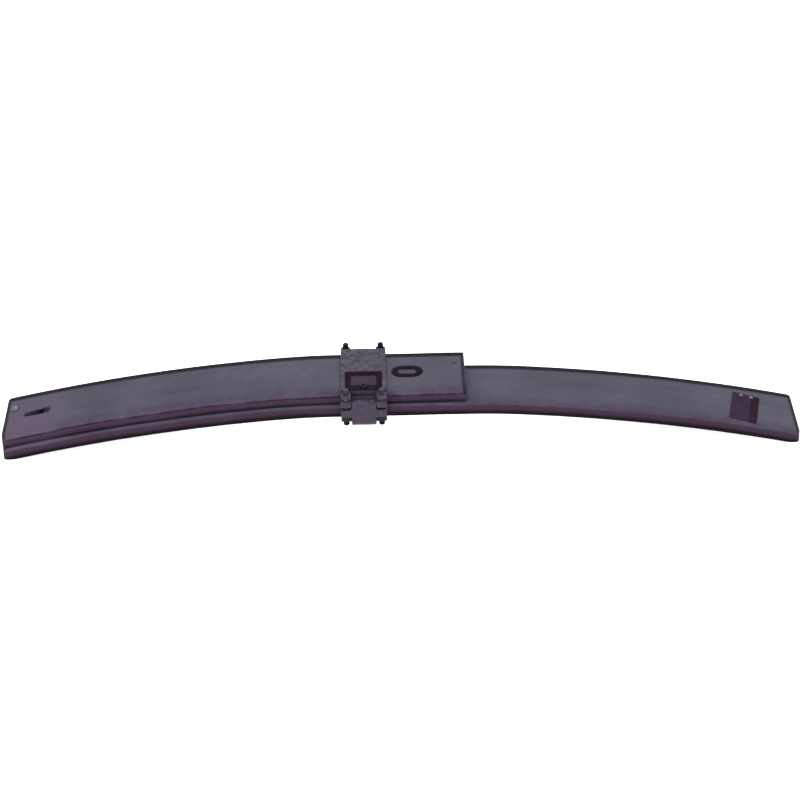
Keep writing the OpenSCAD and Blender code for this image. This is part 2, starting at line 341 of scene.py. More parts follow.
def sheet_metal(name, length, width, corner, low, top_at, cell):
    """A flat-bottomed plate, centred, with rounded corners, whose top follows top_at(x, y)."""
    nx, ny = round(length / cell), round(width / cell)
    xs, ys = np.meshgrid(np.linspace(-1, 1, nx + 1) * length / 2,
                         np.linspace(-1, 1, ny + 1) * width / 2, indexing="ij")
    over_x = np.abs(xs) - (length / 2 - corner)
    over_y = np.abs(ys) - (width / 2 - corner)
    reach = np.hypot(np.clip(over_x, 0, None), np.clip(over_y, 0, None))
    outside = (over_x > 0) & (over_y > 0) & (reach > corner)
    pull = np.where(outside, corner / np.maximum(reach, 1e-9), 1.0)
    xs = np.where(outside, np.sign(xs) * (length / 2 - corner + over_x * pull), xs)
    ys = np.where(outside, np.sign(ys) * (width / 2 - corner + over_y * pull), ys)
    top = np.stack([xs, ys, top_at(xs, ys)], axis=-1).reshape(-1, 3)
    bottom = np.stack([xs, ys, np.full(xs.shape, low)], axis=-1).reshape(-1, 3)

    def at(i, j, layer):
        return layer * len(top) + i * (ny + 1) + j

    faces = []
    for i in range(nx):
        for j in range(ny):
            faces.append((at(i, j, 0), at(i + 1, j, 0), at(i + 1, j + 1, 0), at(i, j + 1, 0)))
            faces.append((at(i, j, 1), at(i, j + 1, 1), at(i + 1, j + 1, 1), at(i + 1, j, 1)))
    rim = [(i, 0) for i in range(nx)] + [(nx, j) for j in range(ny)]
    rim += [(i, ny) for i in range(nx, 0, -1)] + [(0, j) for j in range(ny, 0, -1)]
    for (a, b), (c, d) in zip(rim, rim[1:] + rim[:1]):
        faces.append((at(a, b, 0), at(a, b, 1), at(c, d, 1), at(c, d, 0)))
    return make_mesh(name, np.concatenate([top, bottom]), faces)


def edge_distance(x, y, length, width, corner):
    """Distance in from the outline of a rectangle with rounded corners."""
    over_x = np.abs(x) - (length / 2 - corner)
    over_y = np.abs(y) - (width / 2 - corner)
    outside = np.hypot(np.clip(over_x, 0, None), np.clip(over_y, 0, None))
    return corner - outside - np.minimum(np.maximum(over_x, over_y), 0)


def ramp(value, low, high):
    """0 below low, 1 above high, smooth between."""
    t = np.clip((value - low) / (high - low), 0, 1)
    return t * t * (3 - 2 * t)


# ---- Materials ----
class Nodes:
    """A material's node tree, with short calls for the nodes that these materials share."""

    def __init__(self, name):
        self.material = bpy.data.materials.new(name)
        self.material.use_nodes = True
        self.tree = self.material.node_tree
        self.shader = self.tree.nodes["Principled BSDF"]

    def add(self, kind, **settings):
        node = self.tree.nodes.new(kind)
        for key, value in settings.items():
            setattr(node, key, value)
        return node

    def link(self, source, target):
        self.tree.links.new(source, target)

    def put(self, socket, value):
        """A link if value is a socket, or a plain number or colour."""
        if isinstance(value, bpy.types.NodeSocket):
            self.link(value, socket)
        else:
            socket.default_value = value

    def attribute(self, name, output="Fac"):
        return self.add("ShaderNodeAttribute", attribute_name=name).outputs[output]

    def noise(self, scale, detail=4.0, rough=0.55, stretch=(1, 1, 1)):
        place = self.add("ShaderNodeVectorMath", operation="MULTIPLY")
        self.link(self.attribute("rest", "Vector"), place.inputs[0])
        place.inputs[1].default_value = [scale * s for s in stretch]
        node = self.add("ShaderNodeTexNoise")
        self.link(place.outputs[0], node.inputs["Vector"])
        node.inputs["Scale"].default_value = 1.0
        node.inputs["Detail"].default_value = detail
        node.inputs["Roughness"].default_value = rough
        return node.outputs["Fac"]

    def cells(self, scale):
        place = self.add("ShaderNodeVectorMath", operation="SCALE")
        self.link(self.attribute("rest", "Vector"), place.inputs[0])
        place.inputs["Scale"].default_value = scale
        node = self.add("ShaderNodeTexVoronoi")
        self.link(place.outputs[0], node.inputs["Vector"])
        node.inputs["Scale"].default_value = 1.0
        return node.outputs["Distance"]

    def spread(self, value, low, high, out_low=0.0, out_high=1.0):
        node = self.add("ShaderNodeMapRange", interpolation_type="SMOOTHSTEP")
        self.link(value, node.inputs["Value"])
        limits = {"From Min": low, "From Max": high, "To Min": out_low, "To Max": out_high}
        for socket, number in limits.items():
            node.inputs[socket].default_value = number
        return node.outputs["Result"]

    def maths(self, operation, first, second):
        node = self.add("ShaderNodeMath", operation=operation, use_clamp=operation in ("MULTIPLY", "ADD"))
        self.put(node.inputs[0], first)
        self.put(node.inputs[1], second)
        return node.outputs[0]

    def times(self, first, second):
        return self.maths("MULTIPLY", first, second)

    def mix(self, share, first, second):
        node = self.add("ShaderNodeMix", data_type="RGBA")
        self.put(node.inputs["Factor"], share)
        colours = [s for s in node.inputs if s.type == "RGBA"]
        self.put(colours[0], (*first, 1) if isinstance(first, tuple) else first)
        self.put(colours[1], (*second, 1) if isinstance(second, tuple) else second)
        return [s for s in node.outputs if s.type == "RGBA"][0]

    def bump(self, value, strength, distance, below=None):
        node = self.add("ShaderNodeBump")
        node.inputs["Strength"].default_value = strength
        node.inputs["Distance"].default_value = distance
        self.link(value, node.inputs["Height"])
        if below is not None:
            self.link(below, node.inputs["Normal"])
        return node.outputs["Normal"]

    def finish(self, colour, roughness, normal, metallic, specular):
        self.put(self.shader.inputs["Base Color"], colour)
        self.put(self.shader.inputs["Roughness"], roughness)
        self.put(self.shader.inputs["Metallic"], metallic)
        self.shader.inputs["Specular IOR Level"].default_value = specular
        self.link(normal, self.shader.inputs["Normal"])
        return self.material


# Where each band of the leaf paint fades in: heights over the leaf's foot, or distances in from its end or
# from its far side.
SIDE_SHADE_BAND = (20.5 * MM, 15.5 * MM)
FOOT_SHADE_BAND = (13.5 * MM, 6.5 * MM)
SHADE_LINE_TOP = (20.2 * MM, 19.0 * MM)
SHADE_LINE_FOOT = (16.5 * MM, 17.7 * MM)
RIM_RISE = (16.0 * MM, 18.5 * MM)
RIM_END = (7.0 * MM, 3.2 * MM)
RIM_BACK = (15.0 * MM, 9.2 * MM)
NEAR_TINT_AND_SHADE = (78 * MM, 97 * MM)
TIP_TINT = (10 * MM, 50 * MM)

# The leaf paint's colours.
BLUE_GREY = (0.090, 0.087, 0.121)
DEEP_GREY = (0.072, 0.070, 0.097)
MAUVE = (0.084, 0.064, 0.082)
ROLLED_GREY = (0.048, 0.042, 0.056)
DUST = (0.14, 0.125, 0.13)
NEAR_VIOLET_AND_SHADE = (0.064, 0.046, 0.080)
TIP_VIOLET = (0.104, 0.077, 0.122)
SIDE_SHADE_PLUM = (0.042, 0.019, 0.040)
SHADE_LINE_PLUM = (0.014, 0.006, 0.012)
SHADE_BLACK = (0.004, 0.002, 0.004)
RIM_BLACK = (0.007, 0.005, 0.008)
WORN_GREY = (0.12, 0.112, 0.130)
SPECK_BROWN = (0.030, 0.020, 0.024)


def spring_paint():
    """Thin blue-grey paint over rolled spring steel, violet near the left tip and black along the ends and
    the far top
    edge. Painted shade: plum down the sides, black at the foot, a dark line below the upper leaf's top edge
    and black in the narrow slot. The darker violet at the near edge is partly the paint's tone and partly
    painted shade."""
    n = Nodes("spring_paint")
    broad = n.noise(9, 3)
    patch = n.noise(55, 5, 0.6)
    colour = n.mix(n.spread(broad, 0.35, 0.65), BLUE_GREY, DEEP_GREY)
    colour = n.mix(n.spread(patch, 0.42, 0.72, 0, 0.5), colour, MAUVE)
    rolled = n.noise(40, 5, 0.6, (0.12, 1, 1))
    colour = n.mix(n.spread(rolled, 0.48, 0.75, 0, 0.35), colour, ROLLED_GREY)
    dust = n.times(n.spread(n.noise(26, 6, 0.65), 0.55, 0.78), n.spread(n.attribute("up"), 0.3, 1.0))
    colour = n.mix(n.times(dust, 0.28), colour, DUST)
    skin = n.add("ShaderNodeSeparateXYZ")
    n.link(n.attribute("skin", "Vector"), skin.inputs[0])
    end, inwards, rise = skin.outputs
    level = n.maths("ADD", rise, n.times(n.noise(38, 4, 0.6, (0.35, 1, 1)), 0.005))
    # Darker violet towards the near edge: partly the paint's tone, partly painted shade.
    near = n.times(n.spread(inwards, *NEAR_TINT_AND_SHADE), n.spread(patch, 0.35, 0.6, 0.3, 0.75))
    colour = n.mix(near, colour, NEAR_VIOLET_AND_SHADE)
    wash = n.times(n.spread(patch, 0.3, 0.6, 0.7, 1.0), n.spread(inwards, *TIP_TINT, 0.5, 0.9))
    colour = n.mix(n.times(wash, n.attribute("tinted")), colour, TIP_VIOLET)
    # Painted shade: the sides darken in plum towards the foot.
    plum = n.spread(level, *SIDE_SHADE_BAND)
    colour = n.mix(n.times(plum, 0.88), colour, SIDE_SHADE_PLUM)
    # Painted shade: the leaves go black towards the foot.
    foot = n.spread(level, *FOOT_SHADE_BAND)
    colour = n.mix(n.times(foot, 0.97), colour, SHADE_BLACK)
    # Painted shade: a dark line along the upper leaf's sides, a little below its top.
    line = n.times(n.spread(level, *SHADE_LINE_TOP), n.spread(level, *SHADE_LINE_FOOT))
    line = n.times(line, n.attribute("shade_lined"))
    line = n.times(line, n.spread(patch, 0.35, 0.6, 0.5, 0.9))
    colour = n.mix(line, colour, SHADE_LINE_PLUM)
    # Black along the ends and the far top edge.
    tip = n.times(n.spread(end, *RIM_END), 0.9)
    back = n.spread(inwards, *RIM_BACK)
    rim = n.times(n.maths("MAXIMUM", tip, back), n.spread(rise, *RIM_RISE))
    colour = n.mix(n.times(rim, 0.9), colour, RIM_BLACK)
    worn = n.times(n.spread(n.attribute("edge"), 0.35, 0.8), n.spread(n.noise(200, 4), 0.45, 0.62))
    worn = n.times(worn, n.spread(n.attribute("up"), 0.1, 0.6))
    colour = n.mix(n.times(worn, 0.5), colour, WORN_GREY)
    speck = n.spread(n.cells(210), 0.10, 0.05)
    colour = n.mix(n.times(speck, 0.45), colour, SPECK_BROWN)
    # Painted shade: black in and around the narrow slot.
    colour = n.mix(n.times(n.attribute("bore"), 0.92), colour, SHADE_BLACK)
    roughness = n.spread(n.noise(120, 5), 0.3, 0.7, 0.50, 0.68)
    normal = n.bump(n.noise(70, 5, 0.6), 0.35, 0.0006)
    normal = n.bump(n.noise(900, 3, 0.6), 0.30, 0.00012, normal)
    normal = n.bump(speck, -0.30, 0.0002, normal)
    return n.finish(colour, roughness, normal, 0.0, 0.06)


def casting_paint():
    """The same paint over a rough sand casting, with painted shade on its faces that look along Y and in its
    hollows.
    """
    n = Nodes("casting")
    blotch = n.noise(150, 4, 0.6)
    colour = n.mix(n.spread(blotch, 0.34, 0.66), (0.046, 0.042, 0.060), (0.098, 0.094, 0.128))
    colour = n.mix(n.spread(n.noise(60, 4), 0.45, 0.7, 0, 0.6), colour, (0.066, 0.044, 0.072))
    # Painted shade: faces that look along Y are darker.
    colour = n.mix(n.times(n.attribute("side"), 0.75), colour, (0.054, 0.036, 0.062))
    grain = n.noise(1100, 4, 0.65)
    colour = n.mix(n.spread(grain, 0.35, 0.75, 0, 0.35), colour, (0.032, 0.025, 0.034))
    worn = n.times(n.spread(n.attribute("edge"), 0.35, 0.8), n.spread(n.noise(170, 4), 0.45, 0.62))
    colour = n.mix(n.times(worn, 0.35), colour, (0.115, 0.106, 0.125))
    hollow_shade = n.spread(n.attribute("hollow_shade"), 0.15, 0.7)
    # Painted shade in the hollows.
    colour = n.mix(n.times(hollow_shade, 0.75), colour, (0.016, 0.012, 0.016))
    roughness = n.spread(n.noise(300, 5), 0.3, 0.7, 0.58, 0.78)
    normal = n.bump(n.noise(420, 5, 0.65), 0.55, 0.0006)
    normal = n.bump(grain, 0.35, 0.0002, normal)
    return n.finish(colour, roughness, normal, 0.0, 0.12)


def moulded_rubber():
    """Black rubber with a matt grain, dusty on top and dull brown where it is rubbed."""
    n = Nodes("pad_rubber")
    patch = n.noise(130, 5, 0.6)
    colour = n.mix(n.spread(patch, 0.35, 0.7), (0.008, 0.003, 0.008), (0.020, 0.008, 0.018))
    colour = n.mix(n.times(n.attribute("band"), 0.8), colour, (0.056, 0.038, 0.060))
    dust = n.times(n.spread(n.noise(240, 5), 0.5, 0.7), n.spread(n.attribute("up"), 0.4, 1.0))
    colour = n.mix(n.times(dust, 0.14), colour, (0.066, 0.048, 0.068))
    colour = n.mix(n.spread(n.attribute("edge"), 0.3, 0.9, 0, 0.15), colour, (0.048, 0.036, 0.050))
    roughness = n.spread(patch, 0.3, 0.7, 0.62, 0.85)
    normal = n.bump(n.noise(1500, 3), 0.35, 0.00012)
    normal = n.bump(n.noise(180, 4), 0.25, 0.0004, normal)
    return n.finish(colour, roughness, normal, 0.0, 0.05)


def liner_strip():
    """Fibre-filled rubber strip, matt black with grey fluff at its edges."""
    n = Nodes("liner")
    fibre = n.noise(600, 4, 0.6, (0.25, 1, 1))
    colour = n.mix(n.spread(fibre, 0.4, 0.7), (0.009, 0.009, 0.010), (0.026, 0.024, 0.026))
    colour = n.mix(n.spread(n.attribute("edge"), 0.2, 0.8, 0, 0.4), colour, (0.07, 0.06, 0.065))
    roughness = n.spread(n.noise(200, 3), 0.3, 0.7, 0.75, 0.92)
    return n.finish(colour, roughness, n.bump(fibre, 0.4, 0.0002), 0.0, 0.2)


def plated_steel():
    """Dull zinc plating with cloudy patches, with painted shade in its hollows."""
    n = Nodes("plated_steel")
    cloud = n.noise(160, 5, 0.6)
    colour = n.mix(n.spread(cloud, 0.35, 0.7), (0.20, 0.19, 0.22), (0.13, 0.12, 0.145))
    # Painted shade in the hollows.
    colour = n.mix(n.spread(n.attribute("hollow_shade"), 0.1, 0.6, 0, 0.7), colour, (0.05, 0.045, 0.05))
    colour = n.mix(n.spread(n.noise(420, 4), 0.6, 0.75, 0, 0.5), colour, (0.13, 0.10, 0.09))
    roughness = n.spread(cloud, 0.3, 0.7, 0.50, 0.68)
    normal = n.bump(n.noise(900, 4), 0.2, 0.0001)
    return n.finish(colour, roughness, normal, 0.6, 0.4)


def black_oxide():
    """Oil-blackened steel, grey where its corners are rubbed, with paint where a piece asks for it."""
    n = Nodes("dark_steel")
    cloud = n.noise(220, 5, 0.6)
    colour = n.mix(n.spread(cloud, 0.35, 0.7), (0.006, 0.006, 0.007), (0.013, 0.012, 0.014))
    worn = n.times(n.spread(n.attribute("edge"), 0.4, 0.95), n.spread(n.noise(500, 4), 0.45, 0.6))
    colour = n.mix(n.times(worn, 0.2), colour, (0.060, 0.055, 0.060))
    colour = n.mix(n.spread(n.noise(350, 5), 0.62, 0.8, 0, 0.25), colour, (0.045, 0.028, 0.022))
    colour = n.mix(n.times(n.attribute("painted"), 0.9), colour, (0.066, 0.054, 0.078))
    roughness = n.spread(cloud, 0.3, 0.7, 0.38, 0.60)
    normal = n.bump(n.noise(1300, 3), 0.2, 0.00008)
    return n.finish(colour, roughness, normal, 0.0, 0.15)


def plate_enamel():
    """Satin enamel on thin sheet: a plum field and a darker band, worn to grey on the raised lines."""
    n = Nodes("plate_paint")
    patch = n.noise(170, 5, 0.6)
    field = n.mix(n.spread(patch, 0.35, 0.7), (0.025, 0.012, 0.030), (0.037, 0.020, 0.044))
    band = n.mix(n.spread(patch, 0.35, 0.7), (0.015, 0.002, 0.010), (0.024, 0.004, 0.016))
    colour = n.mix(n.attribute("band"), field, band)
    colour = n.mix(n.spread(n.attribute("edge"), 0.25, 0.8, 0, 0.25), colour, (0.060, 0.038, 0.064))
    colour = n.mix(n.spread(n.noise(330, 5), 0.62, 0.8, 0, 0.2), colour, (0.050, 0.030, 0.054))
    roughness = n.spread(n.noise(260, 4), 0.3, 0.7, 0.42, 0.62)
    return n.finish(colour, roughness, n.bump(n.noise(700, 4), 0.2, 0.00015), 0.0, 0.06)


WEAR_R = 2 * MM  # an edge or a groove as tight as this is fully worn or fully in painted shade
EVENING_PASSES = 2
SHARP_ANGLE = math.radians(35)
TINY = 1e-12  # keeps a length of nothing from being divided by


def store(mesh, name, values, kind="FLOAT"):
    """Keeps one number or vector for each point, for the materials to read."""
    layer = mesh.attributes.get(name) or mesh.attributes.new(name, kind, "POINT")
    key = "vector" if kind == "FLOAT_VECTOR" else "value"
    layer.data.foreach_set(key, np.asarray(values, np.float32).ravel())


def curvature(mesh, points, normals):
    """Mean curvature at each point, in 1/m, positive on edges that stick out, evened out between points."""
    edges = np.zeros(len(mesh.edges) * 2, int)
    mesh.edges.foreach_get("vertices", edges)
    a, b = edges.reshape(-1, 2).T
    way = points[a] - points[b]
    long = np.maximum((way ** 2).sum(1), TINY)
    count = np.maximum(np.bincount(a, minlength=len(points)) + np.bincount(b, minlength=len(points)), 1)

    def gather(at_a, at_b):
        total = np.bincount(a, at_a, len(points)) + np.bincount(b, at_b, len(points))
        return total / count

    bend = gather(2 * (normals[a] * way).sum(1) / long, -2 * (normals[b] * way).sum(1) / long)
    for _ in range(EVENING_PASSES):
        bend = (bend + gather(bend[b], bend[a])) / 2
    return bend


def dress(piece, material):
    """Gives a finished mesh its material, smooth shading and the point values that the material reads."""
    mesh = piece.data
    mesh.materials.clear()
    mesh.materials.append(MATERIALS[material])
    mesh.polygons.foreach_set("use_smooth", [True] * len(mesh.polygons))
    mesh.set_sharp_from_angle(angle=SHARP_ANGLE)
    points, normals = get_points(mesh), get_normals(mesh)
    bend = curvature(mesh, points, normals)
    store(mesh, "rest", points, "FLOAT_VECTOR")
    if "skin" not in mesh.attributes:
        store(mesh, "skin", np.ones((len(points), 3)), "FLOAT_VECTOR")
    store(mesh, "edge", np.clip(bend * WEAR_R, 0, 1))
    # Painted shade mask: how hollow each point is.
    store(mesh, "hollow_shade", np.clip(-bend * WEAR_R, 0, 1))
    # Painted shade mask: how far each face looks along Y.
    store(mesh, "side", ramp(np.abs(normals[:, 1]), 0.5, 0.9))
    store(mesh, "up", np.clip(normals[:, 2], 0, 1))
    piece.name = piece.name.split(".")[0]


# ---- How the pieces hang on the frame ----
SEAT_REACH = 86 * MM  # the leaves are level and move with the clamp up to here
TIP_REACH = 538 * MM  # from here outwards they stay still


def stand_for(piece, node, material):
    """The piece is shown in place of a CAD node, with the named material."""
    dress(piece, material)
    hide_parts(node)


def on_clamp(piece, node, material):
    """A piece that is held by the clamp or lies on the level seat, which moves with it."""
    stand_for(piece, node, material)
    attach(piece, "axle_clamp")


def on_leaves(piece, node, material):
    """A piece that bends with the leaves. It is still at the tips, moves with the clamp at the seat, and
    bends between them as a cantilever does, which is flatter at the seat than blend's own curve."""
    stand_for(piece, node, material)
    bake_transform(piece, "leaf_pack", "axle_clamp", start=(TIP_REACH, 0, 0), end=(SEAT_REACH, 0, 0))
    reach = np.abs(get_points(piece.data)[:, 0])
    u = np.clip((reach - SEAT_REACH) / (TIP_REACH - SEAT_REACH), 0, 1)
    store(piece.data, "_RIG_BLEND", 1 - u * u * (3 - u) / 2)


# ---- Leaves and what lies between them ----
EDGE_R = 1.8 * MM
SIDE_R = 60 * MM
TIP_CORNER_R = 6 * MM
SQUARE_CORNER_R = 1.5 * MM
TIP_SLOT_X = -494.5 * MM
TIP_SLOT_Y = -5 * MM
TIP_SLOT_L = 28 * MM
TIP_SLOT_W = 11 * MM
RIVET_X = -522.5 * MM
RIVET_Y = 15 * MM
WIDE_SLOT_X = 9 * MM
WIDE_SLOT_L = 43 * MM
WIDE_SLOT_W = 30 * MM
KEY_L = 28 * MM
KEY_W = 12 * MM
END_RIVET_X = 74 * MM
END_RIVET_Y = 22 * MM
PLATE_X = 472 * MM
PLATE_Y = -9 * MM
PLATE_TURN = math.radians(-11)
PLATE_L = 38 * MM
PLATE_W = 73 * MM
PLATE_T = 1.2 * MM
PLATE_RIVET_PITCH = 14 * MM
PLATE_RIVET_Y = PLATE_W / 2 - 6 * MM
PLATE_RIVET_L = 8 * MM
PLATE_RIVET_HOLE_D = 3.4 * MM
LINER_HALF_W = 48 * MM
LINER_PLAY = 0.1 * MM
UPPER_BAND_DROP = 4 * MM  # how much lower the paint's bands lie on the upper leaf
SLOT_SHADE_REACH = (0.3 * MM, 1.3 * MM)  # how far outside the narrow slot its painted shade fades out
TIP_TINT_END = (-490 * MM, -445 * MM)  # the X range over which the left tip's tint fades out

# Holes as (x, y, length, width). A round hole's length is its width.
DOWEL_HOLE = (CLAMP_X, 0, 17 * MM, 17 * MM)
TIP_SLOT = (TIP_SLOT_X, TIP_SLOT_Y, TIP_SLOT_L, TIP_SLOT_W)
RIVET_HOLE = (RIVET_X, RIVET_Y, 7.4 * MM, 7.4 * MM)
WIDE_SLOT = (WIDE_SLOT_X, 0, WIDE_SLOT_L, WIDE_SLOT_W)
END_RIVET_HOLE = (END_RIVET_X, END_RIVET_Y, 5.4 * MM, 5.4 * MM)


def plate_rivet_places():
    """(foot, y) of the two rivets along the blank plate's far edge."""
    foot = PLATE_X - LEAF_T * math.sin(float(slope(PLATE_X)))
    for along in (-PLATE_RIVET_PITCH / 2, PLATE_RIVET_PITCH / 2):
        yield (foot + along * math.cos(PLATE_TURN) - PLATE_RIVET_Y * math.sin(PLATE_TURN),
               PLATE_Y + along * math.sin(PLATE_TURN) + PLATE_RIVET_Y * math.cos(PLATE_TURN))


def plate_rivet_cutters(low, high, flare):
    return [hole_cutter(foot, y, PLATE_RIVET_HOLE_D, PLATE_RIVET_HOLE_D, low, high, flare, 16)
            for foot, y in plate_rivet_places()]


def note_skin(piece, low_x, high_x, low):
    """Keeps what the leaf paint reads at each point: the distances in from the ends and from the far side,
    the height over low, the narrow slot's painted shade, and the tint at the left tip."""
    points = get_points(piece.data)
    end = np.minimum(points[:, 0] - low_x, high_x - points[:, 0])
    skin = np.stack([end, LEAF_SIDE - points[:, 1], points[:, 2] - low], axis=1)
    store(piece.data, "skin", skin, "FLOAT_VECTOR")
    along = np.maximum(np.abs(points[:, 0] - TIP_SLOT_X) - (TIP_SLOT_L - TIP_SLOT_W) / 2, 0.0)
    outside = np.hypot(along, points[:, 1] - TIP_SLOT_Y) - TIP_SLOT_W / 2
    store(piece.data, "bore", 1 - ramp(outside, *SLOT_SHADE_REACH))
    store(piece.data, "tinted", 1 - ramp(points[:, 0], *TIP_TINT_END))


def make_main_leaf():
    leaf = bar("main_leaf_shape", -HALF_SPAN, HALF_SPAN, 0.0, LEAF_T, LEAF_SIDE,
               EDGE_R, (TIP_CORNER_R, TIP_CORNER_R), SIDE_R)
    cut(leaf, hole_cutter(*DOWEL_HOLE, 0, LEAF_T),
        *plate_rivet_cutters(LEAF_T - PLATE_RIVET_L, LEAF_T, 0.2 * MM))
    note_skin(leaf, -HALF_SPAN, HALF_SPAN, 0.0)
    lay_on_camber(leaf)
    roughen(leaf, ((28, 0.20 * MM), (120, 0.08 * MM)), 1)
    points = get_points(leaf.data)
    points[:, 2] = np.maximum(points[:, 2], 0.0)
    set_points(leaf.data, points)
    on_leaves(leaf, "main_leaf", "spring_paint")


def make_upper_leaf():
    leaf = bar("upper_leaf_shape", -HALF_SPAN, UPPER_REACH, UPPER_BASE, PACK_T, LEAF_SIDE,
               EDGE_R, (TIP_CORNER_R, SQUARE_CORNER_R), SIDE_R)
    cut(leaf,
        hole_cutter(*DOWEL_HOLE, UPPER_BASE, PACK_T),
        hole_cutter(*WIDE_SLOT, UPPER_BASE, PACK_T, 1.2 * MM, 48),
        hole_cutter(*END_RIVET_HOLE, UPPER_BASE, PACK_T, 0.3 * MM, 20),
        hole_cutter(*TIP_SLOT, UPPER_BASE, PACK_T, 1.0 * MM, 24),
        hole_cutter(*RIVET_HOLE, UPPER_BASE, PACK_T, 0.3 * MM, 20))
    note_skin(leaf, -HALF_SPAN, UPPER_REACH, UPPER_BASE - UPPER_BAND_DROP)
    # Painted shade: this leaf carries the dark line along its sides.
    store(leaf.data, "shade_lined", np.ones(len(leaf.data.vertices)))
    lay_on_camber(leaf)
    roughen(leaf, ((28, 0.16 * MM), (120, 0.08 * MM)), 5)
    on_leaves(leaf, "upper_leaf", "spring_paint")


def make_liner(node, *holes):
    """A thin strip between the leaves, as long as the CAD node's box, with its holes."""
    start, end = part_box(node)
    low, high = LEAF_T + LINER_PLAY, UPPER_BASE - LINER_PLAY
    strip = bar(f"{node}_shape", start.x, end.x, low, high, LINER_HALF_W,
                0.25 * MM, (1 * MM, 1 * MM), step=3 * MM, across=10)
    cut(strip, *[hole_cutter(*hole, low, high, 0.1 * MM, 24) for hole in holes])
    return lay_on_camber(strip)


def make_liners():
    on_leaves(make_liner("tip_liner", RIVET_HOLE, TIP_SLOT), "tip_liner", "liner")
    on_clamp(make_liner("end_liner", END_RIVET_HOLE), "end_liner", "liner")
    on_clamp(make_liner("centre_spacer", DOWEL_HOLE), "centre_spacer", "plated_steel")


def round_rivet(name, head_d, head_h, shank_d, shank_l, brim=0.3 * MM):
    """A round-headed rivet: domed head with a short upright brim, rolled under, and a plain shank."""
    ball_r = (head_d ** 2 / 4 + (head_h - brim) ** 2) / (2 * (head_h - brim))
    sweep = math.asin(head_d / 2 / ball_r)
    shank_r, chamfer = shank_d / 2, 0.4 * MM
    steps = 10
    profile = []
    for k in range(steps + 1):
        turn = sweep * k / steps
        profile.append((ball_r * math.sin(turn), head_h - ball_r * (1 - math.cos(turn))))
    profile += [(head_d / 2, brim * 0.6), (head_d / 2 - brim * 0.5, 0.0), (shank_r, 0.0),
                (shank_r, -shank_l + chamfer), (shank_r - chamfer, -shank_l), (0.0, -shank_l)]
    return revolve(name, lambda angle: profile, 40)


def make_rivets():
    rivet = round_rivet("tip_rivet_shape", head_d=12 * MM, head_h=5 * MM,
                        shank_d=7 * MM, shank_l=20.5 * MM, brim=0.6 * MM)
    stand_on_camber(rivet, RIVET_X, PACK_T + LINER_PLAY, RIVET_Y)
    on_leaves(rivet, "tip_rivet", "plated_steel")

    rivet = round_rivet("end_liner_rivet_shape", head_d=9 * MM, head_h=1.6 * MM,
                        shank_d=5 * MM, shank_l=20.5 * MM)
    stand_on_camber(rivet, END_RIVET_X, PACK_T + 0.15 * MM, END_RIVET_Y)
    on_clamp(rivet, "end_liner_rivet", "spring_paint")

    for k, (foot, y) in enumerate(plate_rivet_places(), 1):
        node = f"data_plate_rivet_{k}"
        rivet = round_rivet(f"{node}_shape", head_d=6 * MM, head_h=1.4 * MM,
                            shank_d=3 * MM, shank_l=PLATE_RIVET_L + PLATE_T)
        stand_on_camber(rivet, foot, LEAF_T + PLATE_T + LINER_PLAY, y, turn=0.3 * k)
        on_leaves(rivet, node, "plated_steel")


def make_data_plate():
    """A blank plate of thin sheet: a raised border, and two sunk fields with a rib between them."""
    corner, crest, relief = 2.5 * MM, 0.95 * MM, 0.35 * MM
    rib_x = 7 * MM

    def top_at(x, y):
        depth = edge_distance(x, y, PLATE_L, PLATE_W, corner)
        sunk = ramp(depth, 2.0 * MM, 2.8 * MM)
        rib = 1 - ramp(np.abs(x - rib_x), 0.9 * MM, 1.6 * MM)
        top = crest - relief * (1 - ramp(depth, 0.0, 0.5 * MM)) - relief * sunk + relief * rib * sunk
        for end in (-0.5, 0.5):
            boss = np.hypot(x - end * PLATE_RIVET_PITCH, y - PLATE_RIVET_Y)
            top = top + (crest - top) * (1 - ramp(boss, 3.2 * MM, 4.2 * MM))
        return top

    plate = sheet_metal("data_plate_shape", PLATE_L, PLATE_W, corner, 0.0, top_at, cell=0.6 * MM)
    points = get_points(plate.data)
    store(plate.data, "band", ramp(points[:, 0], rib_x - 0.2 * MM, rib_x + 0.4 * MM))
    cos, sin = math.cos(PLATE_TURN), math.sin(PLATE_TURN)
    points[:, :2] = points[:, :2] @ np.array([[cos, sin], [-sin, cos]]) + (PLATE_X, PLATE_Y)
    points[:, 2] += LEAF_T + 2 * LINER_PLAY
    set_points(plate.data, points)
    cut(plate, *plate_rivet_cutters(LEAF_T, LEAF_T + PLATE_T + 1 * MM, 0.0))
    on_leaves(lay_on_camber(plate), "data_plate", "plate_paint")


def make_bush():
    """The wide slot's rubber bush, with a rolled rim."""
    low, top = (corner.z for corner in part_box("slot_bush"))
    inner, outer = KEY_W / 2, WIDE_SLOT_W / 2 - 0.15 * MM
    lip = 1.0 * MM
    profile = [(inner + 0.1 * MM, low + 0.3 * MM), (inner + 0.4 * MM, low), (outer - 0.4 * MM, low),
               (outer, low + 0.4 * MM), (outer, PACK_TOP - 1.6 * MM)]
    crown, half = (inner + outer) / 2, (outer - inner) / 2
    steps = 12
    for k in range(steps + 1):
        turn = math.pi * k / steps
        rise = math.sin(turn) ** 0.6 * (top - PACK_TOP + lip) if 0 < k < steps else 0.0
        profile.append((crown + half * math.cos(turn), PACK_TOP - lip + rise))
    profile += [(inner, PACK_TOP - 1.8 * MM), (inner, low + 0.6 * MM)]
    bush = revolve("slot_bush_shape", lambda angle: profile, 64, (WIDE_SLOT_L - WIDE_SLOT_W) / 2, closed=True)
    move(bush, (WIDE_SLOT_X, 0, 0))
    on_clamp(bush, "slot_bush", "pad_rubber")


